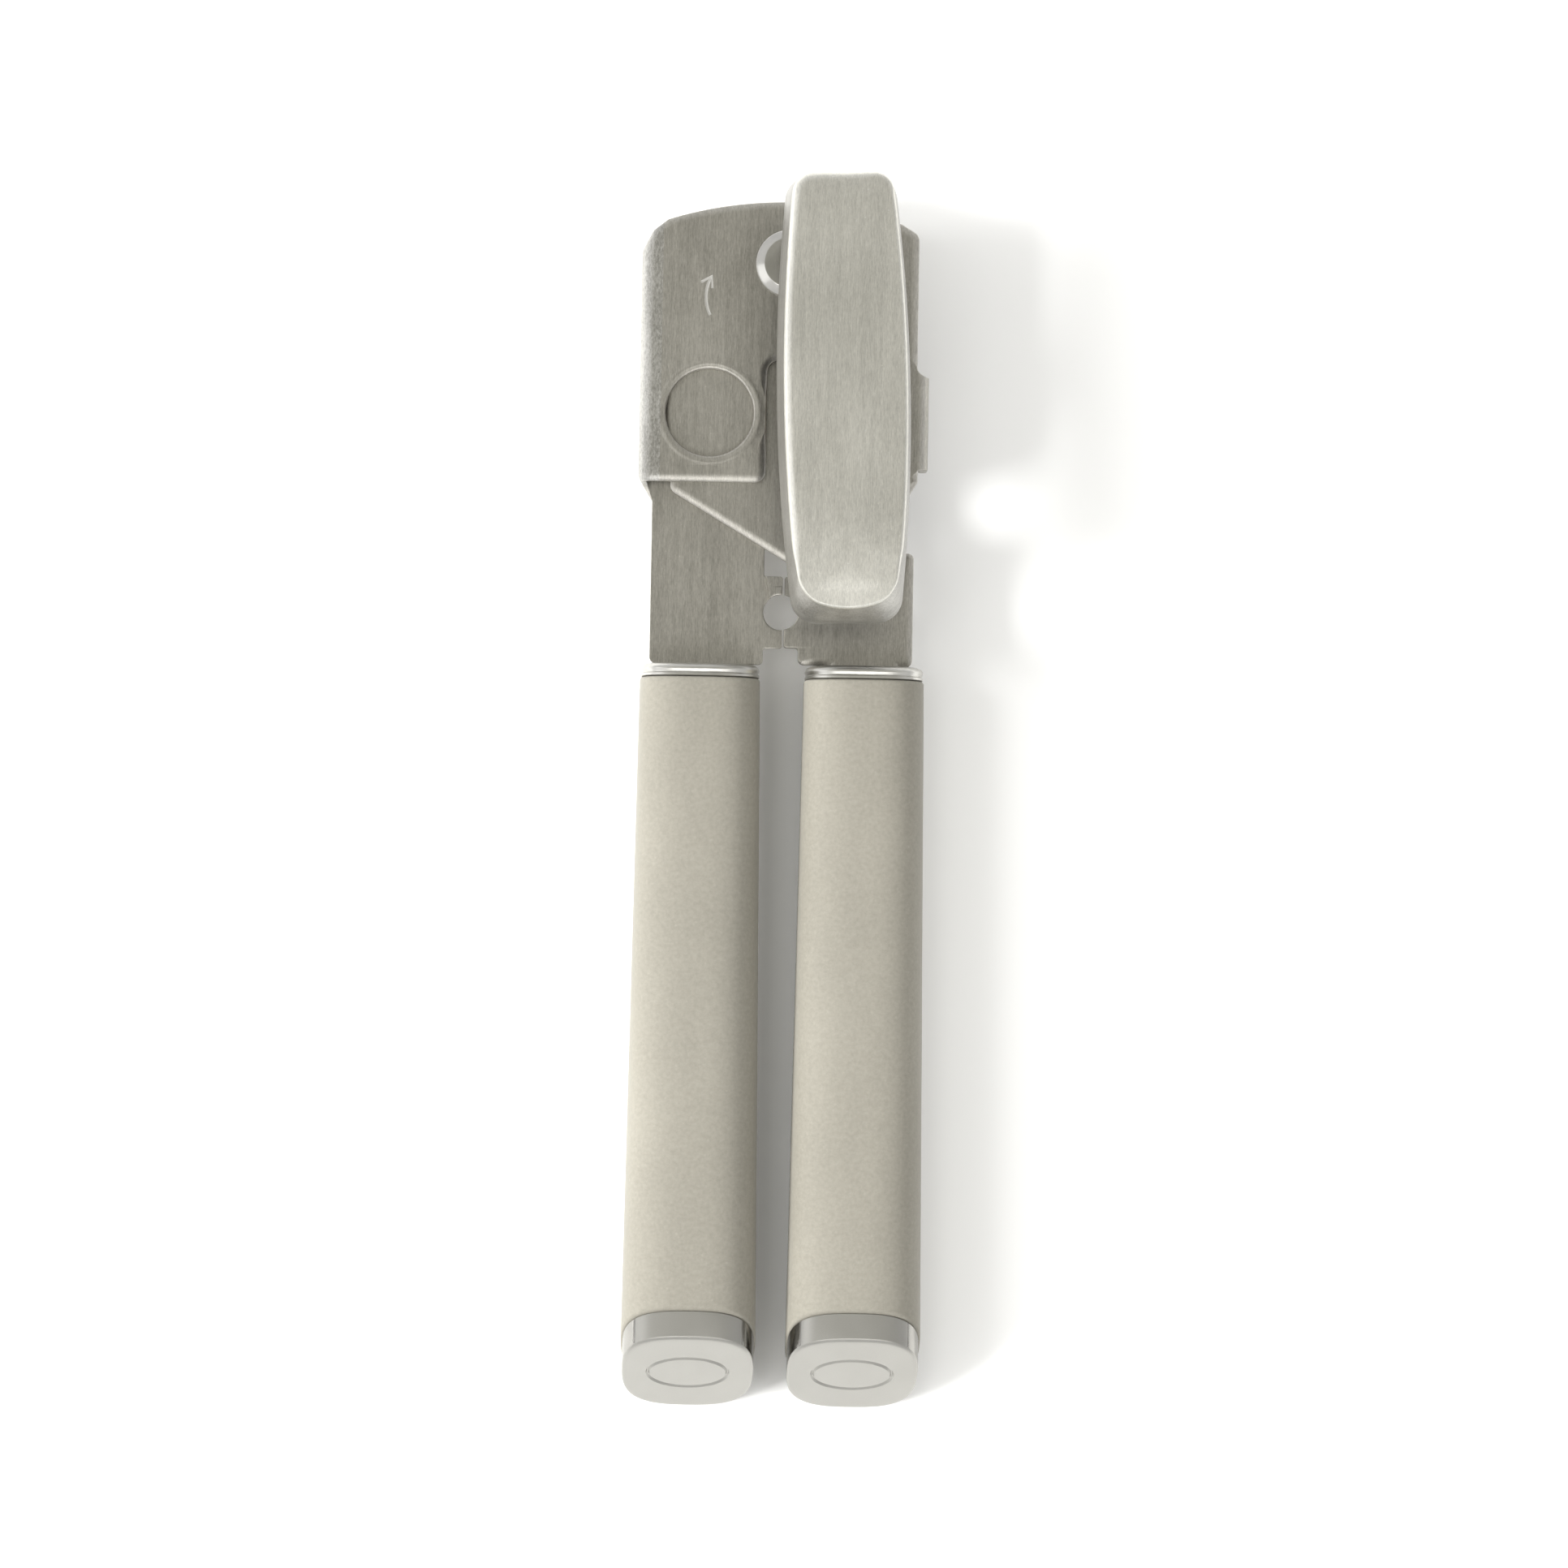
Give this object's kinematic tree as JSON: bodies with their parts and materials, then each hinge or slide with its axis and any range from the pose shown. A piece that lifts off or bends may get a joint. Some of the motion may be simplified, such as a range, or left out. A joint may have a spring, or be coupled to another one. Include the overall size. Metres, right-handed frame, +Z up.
{
  "type": "manual can opener",
  "caption": "Hand-held can opener: folded steel head on a pivot rivet, long turning key, geared feed wheel and round cutter, soft-touch square grips with slanted metal end caps.",
  "frame": {"origin": "centre of the opener's box in plan, on the surface that it lies on", "axes": "+Z up towards the turning key, grips along -Y, head along +Y, right handle on +X"},
  "size_m": [0.0504, 0.2062, 0.035],
  "materials": {
    "satin_steel": "satin, brushed lengthwise",
    "bright_steel": "polished",
    "cap_metal": "satin, fine grain",
    "hard_steel": "hardened, machined",
    "bearing_brass": "turned",
    "soft_touch": "matt soft-touch coating",
    "core_plastic": "moulded"
  },
  "bodies": {
    "left_handle": {"left_handle_plate": "satin_steel", "pivot_rivet": "bright_steel", "pivot_washer": "bright_steel", "left_ferrule": "bright_steel", "left_core": "core_plastic", "left_tang_pin": "hard_steel", "left_grip": "soft_touch", "left_end_cap": "cap_metal", "cutter_stud": "hard_steel", "cutter_screw": "bright_steel"},
    "right_handle": {"right_handle_plate": "satin_steel", "shaft_bushing": "bearing_brass", "right_ferrule": "bright_steel", "right_core": "core_plastic", "right_tang_pin": "hard_steel", "right_grip": "soft_touch", "right_end_cap": "cap_metal"},
    "key": {"key_shell": "satin_steel", "key_core": "core_plastic", "key_collar": "bright_steel", "drive_shaft": "hard_steel", "shaft_washer": "bright_steel", "drive_gear": "hard_steel", "feed_wheel": "hard_steel", "shaft_nut": "bright_steel"},
    "cutter": {"cutter_washer": "bright_steel", "cutter_gear": "hard_steel", "cutter_wheel": "bright_steel"}
  },
  "joints": [
    {"name": "handle_pivot", "type": "hinge", "parent": "left_handle", "child": "right_handle", "pos_m": [0, 0.08982, 0.0106], "axis": [0, 0, 1], "range_deg": [0, 20]},
    {"name": "key_spin", "type": "hinge", "parent": "right_handle", "child": "key", "pos_m": [0.0091, 0.06571, 0.0106], "axis": [0, 0, 1], "continuous": true},
    {"name": "cutter_spin", "type": "hinge", "parent": "left_handle", "child": "cutter", "pos_m": [-0.0101, 0.06571, 0.006], "axis": [0, 0, 1], "continuous": true}
  ],
  "couplings": [
    {"joint": "cutter_spin", "follows": "key_spin", "ratio": -0.77778}
  ]
}
